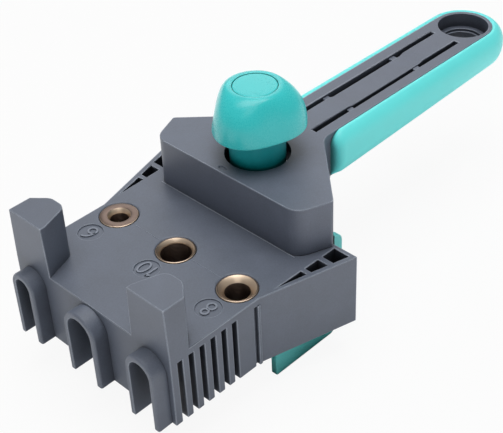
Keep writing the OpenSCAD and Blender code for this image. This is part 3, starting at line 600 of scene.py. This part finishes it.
# The handle housing: hood, neck and handle strip in one slate grey moulding, a touch paler than the block.
# The hanging hole steps down inside its recess, and a shallow oval marks the hood in front of the knob.
housing_grey = moulded_plastic(
    "housing_grey", "676e7d", "a5adba", roughness=0.46, grain=2600.0, depth=0.03 * mm, mottle=0.75
)
hood_half_x, _, hood_top = housing_high
hood_rear_y = span("drill_block")[1][1] - 1.0
grip_low, grip_high = span("grip_sleeve")
end_y = grip_high[1] - grip_high[0]
recess_floor = hood_top - 5.4
step_r = 7.4
step_depth = 1.0
step_profile = [(0, -step_depth), (step_r, -step_depth), (step_r, 0.2), (0, 0.2)]
oval_x = -1.9
oval_y = 24.3
oval_stretch = 2.0
oval_profile = [(0, -0.35), (0.75, -0.35), (0.95, 0.1), (0, 0.1)]
oval_cutter = turned_surface(oval_profile, (oval_x, oval_y, hood_top), 32)
oval_cutter[..., 0] = oval_x + (oval_cutter[..., 0] - oval_x) * oval_stretch
housing_cuts = [
    joined_grid("step", turned_surface(step_profile, (0, end_y, recess_floor)), False),
    joined_grid("oval", oval_cutter, False),
]


def on_hood_corner(x, y, z):
    """True on the upright edge at each rear corner of the hood."""
    on_edge = (np.abs(x) > hood_half_x - 0.3) & (np.abs(y - hood_rear_y) < 0.3)
    return on_edge & (z > plate_top + 0.3) & (z < hood_top - 0.1)


housing = add_piece(
    "handle_housing_moulding", carve(clean_copy("handle_housing"), housing_cuts),
    "block", housing_grey, "housing_grey", "handle_housing",
)
soften(housing, 0.3, [(1.0, on_hood_corner)])


# The grip: firm turquoise rubber moulded round both sides and the end of the handle, with a dry satin skin.
# It starts at the neck with a rounded nose, and its foot rises to the handle's end.
neck_y = grip_low[1] - 0.2
grip_start = neck_y + 0.04
strip_half = 10.9
core_half = 10.3
bulge = grip_high[0] - strip_half
foot_start = 27.92
foot_rise = math.tan(math.radians(2.0))
foot_h = 7.0
widest_drop = 6.0
nose_r = 5.0
draw_r = 3.0
grip_turquoise = moulded_plastic(
    "grip_turquoise", "74fcfa", "90fefc", roughness=0.42, grain=3000.0, depth=0.012 * mm, mottle=0.15
)


def grip_surface(along=90, around=48):
    """The grip's section, a bow between a rounded foot and the strip's edge, carried on a U-shaped path.

    The section is a list of distances from the handle's middle line, with heights above the foot in the
    lower half and shares of the way from the widest line to the top in the upper half. It stands square to
    the path. At each end the top drops on a quarter circle of nose_r and the bow grows on one of draw_r.
    """
    side_y = grip_start + (end_y - grip_start) * (1 - np.cos(np.linspace(0, math.pi / 2, along)))
    angle = np.linspace(0, math.pi, around)[1:-1]
    middle_y = np.concatenate([side_y, np.full(len(angle), end_y), side_y[::-1]])
    facing = np.concatenate([np.zeros(along), angle, np.full(along, math.pi)])
    last = math.sin(math.radians(75))
    low_bow = np.radians(np.linspace(-50, -2, 14))
    high_bow = np.radians(np.linspace(0, 75, 18))
    lower = np.concatenate([
        [[core_half + 0.02, 0], [strip_half + 0.6, 0], [strip_half + 1.0, 0.1]],
        np.stack([strip_half + bulge * np.cos(low_bow), foot_h * (1 + np.sin(low_bow) / last)], 1),
    ])
    upper = np.concatenate([
        np.stack([strip_half + bulge * np.cos(high_bow), np.sin(high_bow) / last], 1),
        [[strip_half + 0.8, 0.998], [strip_half + 0.35, 0.99], [strip_half + 0.02, 0.96]],
        [[strip_half + 0.02, 0.79], [core_half + 0.02, 0.79]],
    ])
    reach = np.clip(middle_y - grip_start, 0, None)[:, None]
    nose = np.sqrt(1 - np.clip(1 - reach / nose_r, 0, 1) ** 2)
    draw = np.sqrt(1 - np.clip(1 - reach / draw_r, 0, 1) ** 2)
    foot = foot_start + (middle_y[:, None] - neck_y) * foot_rise
    top = hood_top - nose_r * (1 - nose)
    widest = hood_top - widest_drop
    section = np.concatenate([lower[:, 0], upper[:, 0]])[None, :]
    out = strip_half + (section - strip_half) * np.where(section > strip_half, 0.15 + 0.85 * draw, 1)
    height = np.concatenate([foot + lower[None, :, 1], widest + (top - widest) * upper[None, :, 1]], 1)
    return np.stack([
        out * np.cos(facing)[:, None],
        middle_y[:, None] + out * np.sin(facing)[:, None],
        height,
    ], -1)


add_piece(
    "grip_sleeve_moulding", joined_grid("grip_sleeve_moulding", grip_surface(), False),
    "block", grip_turquoise, "grip_turquoise", "grip_sleeve",
)


# The knob: a hollow three-lobed cap of satin turquoise plastic, whose inner boss sits round the stem.
# A disc of the same plastic is let into its top and hides the screw that holds it.
screw_low, screw_high = span("knob_screw")
knob_y = (screw_low[1] + screw_high[1]) / 2
cap_low = span("knob_cap")[0][2]
cap_h = span("knob_cap")[1][2] - cap_low
knob_turquoise = moulded_plastic(
    "knob_turquoise", "3cd6d7", "98f6f4", roughness=0.28, grain=3000.0, depth=0.006 * mm, mottle=0.15
)


def knob_cap_surface(around=192, up=44):
    """The cap in rings: rounded lip, outer skin, seat of the disc, bore, boss round the stem and inner skin.

    At height share t and angle a, the skin's radius is crown + (rim - crown) (1 - t^p)^q. The rim swells and
    shrinks as cos 3a, which gives three scooped flats, and p and q change with it too. Halving t again and
    again finds the height at which the inner skin meets the boss.
    """
    a = np.linspace(0, 2 * math.pi, around, endpoint=False)[None, :]
    rim_r, lobe, lobe_turn = 15.3, 1.0, math.radians(20)
    crown, wall, boss_r, lip_r = 7.8, 2.2, 10.4, 0.45
    dip = np.cos(3 * (a + lobe_turn))
    rim = rim_r - lobe * dip
    p = 1.8 - 0.93 * dip
    q = 0.51 - 0.15 * dip

    def skin(t, inset):
        swell = np.maximum(1 - t ** p, 0) ** q
        return crown - inset + (rim - crown) * swell, (cap_h - inset) * t + 0 * a

    def ring(radius, height):
        return np.full((1, around), radius), np.full((1, around), height)

    low, high = 0 * a, 0 * a + 1
    for _ in range(30):
        middle = (low + high) / 2
        outside = skin(middle, wall)[0] > boss_r
        low, high = np.where(outside, middle, low), np.where(outside, high, middle)
    bend = np.linspace(0, math.pi / 2, 5)[:-1, None]
    t = lip_r / cap_h + (1 - lip_r / cap_h) * np.sin(np.linspace(0, math.pi / 2, up))[:, None]
    lip, _ = skin(np.full((1, 1), lip_r / cap_h), 0.0)
    rings = [
        (lip - lip_r + lip_r * np.sin(bend), lip_r - lip_r * np.cos(bend) + 0 * a),
        skin(np.minimum(t, 1), 0.0),
        ring(7.56, 14.47), ring(7.44, 14.36), ring(7.4, 14.2), ring(7.32, 12.9), ring(6.0, 12.9),
        ring(6.0, 8.0), ring(9.32, 8.0), ring(9.32, 0.8), ring(9.6, 0.6), ring(10.2, 0.6), ring(boss_r, 0.8),
        skin(low * np.linspace(1, 0, 14)[:, None], wall),
    ]
    radius = np.concatenate([r for r, _ in rings])
    height = np.concatenate([h for _, h in rings])
    return np.stack([radius * np.cos(a), knob_y + radius * np.sin(a), cap_low + height], -1)


add_piece(
    "knob_cap_moulding", joined_grid("knob_cap_moulding", knob_cap_surface()),
    "knob", knob_turquoise, "knob_turquoise", "knob_cap",
)
disc_profile = [
    (0, 14.5), (4, 14.49), (6.4, 14.44), (6.9, 14.39), (7.2, 14.25), (7.3, 14.05), (7.3, 12.92),
    (5.98, 12.92), (5.98, 11.1), (0, 11.1),
]
disc_surface = turned_surface(disc_profile, (0, knob_y, cap_low))
add_piece(
    "knob_disc_inlay", joined_grid("knob_disc_inlay", disc_surface, False),
    "knob", knob_turquoise, "knob_turquoise", "knob_disc",
)


# The stem and the drive: a deep turquoise moulded stem, darkened under the cap by painted shade, on a steel
# pinion, which turns between two steel racks in two brass bearings. A wave washer keeps drag on the knob, and
# bright steel screws hold the rest.
stem_turquoise = moulded_plastic(
    "stem_turquoise", "0abcc2", "2accd0", roughness=0.4, grain=3000.0, depth=0.006 * mm, mottle=0.2
)
gear_steel = worked_metal("gear_steel", "8f9499", "c3c7cb", 0.32)
bearing_brass = worked_metal("bearing_brass", "9c7a42", "cdab6c", 0.3)
spring_steel = worked_metal("spring_steel", "6d7176", "a9adb2", 0.25)
screw_steel = worked_metal("screw_steel", "8d9094", "c9cccf", 0.28)


def finish_nodes(material, *names):
    """Gives CAD nodes that stay in the scene their material."""
    for name in names:
        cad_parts[name].data.materials.clear()
        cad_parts[name].data.materials.append(material)


finish_nodes(stem_turquoise, "knob_stem")
finish_nodes(gear_steel, "drive_pinion", "rear_rack", "front_rack")
finish_nodes(bearing_brass, "lower_bearing", "upper_bearing")
finish_nodes(spring_steel, "spring_washer")
finish_nodes(
    screw_steel, "base_cover_screws", "housing_screws", "handle_back_screws", "gear_cover_screws",
    "knob_screw", "rear_rack_screws", "front_rack_screws",
)


# The jaws: two turquoise mouldings that slide under the plate, each screwed to its own rack.
# The rear one has a cheek on each side, and the front one has two fingers.
jaw_turquoise = moulded_plastic(
    "jaw_turquoise", "64dcda", "8ae8e6", roughness=0.42, grain=3000.0, depth=0.01 * mm, mottle=0.2
)
for name, body in (("rear_jaw", "rear_clamp"), ("front_jaw", "front_clamp")):
    soften(add_piece(name + "_moulding", clean_copy(name), body, jaw_turquoise, "jaw_turquoise", name), 0.4)
